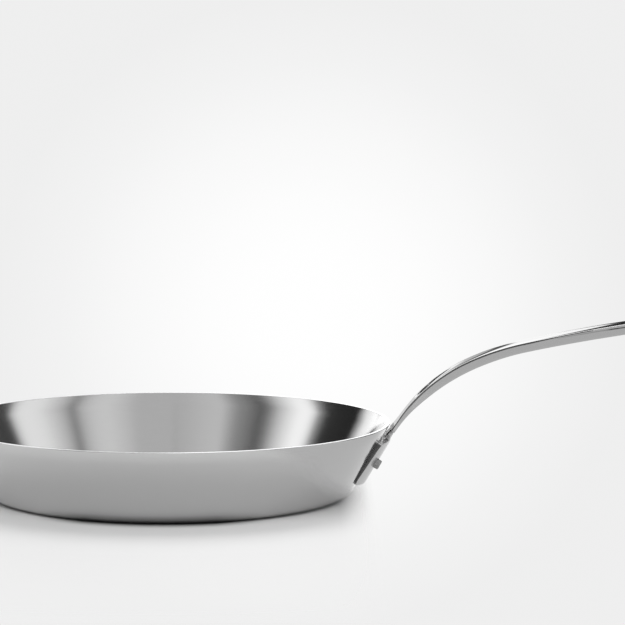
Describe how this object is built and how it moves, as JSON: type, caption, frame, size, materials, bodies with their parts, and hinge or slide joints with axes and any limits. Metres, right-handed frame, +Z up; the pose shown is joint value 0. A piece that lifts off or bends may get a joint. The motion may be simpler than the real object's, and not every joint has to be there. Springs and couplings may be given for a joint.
{
  "type": "omelette pan",
  "caption": "Shallow round clad-metal pan with flared walls, a flat base and a long curved cast handle riveted to its wall.",
  "frame": {"origin": "middle of the flat base, on the surface the pan stands on", "axes": "+Z up along the pan's axis, +X from the pan's axis along the handle, +Y across the handle"},
  "size_m": [0.4939, 0.28, 0.1184],
  "materials": {
    "satin_steel": "satin steel, brushed round the pan inside and out",
    "polished_handle": "cast steel, polished on top and satin on its sides",
    "rivet_steel": "plain satin steel"
  },
  "bodies": {
    "root": {"pan_body": "satin_steel", "handle": "polished_handle", "rivets": "rivet_steel"}
  },
  "joints": []
}
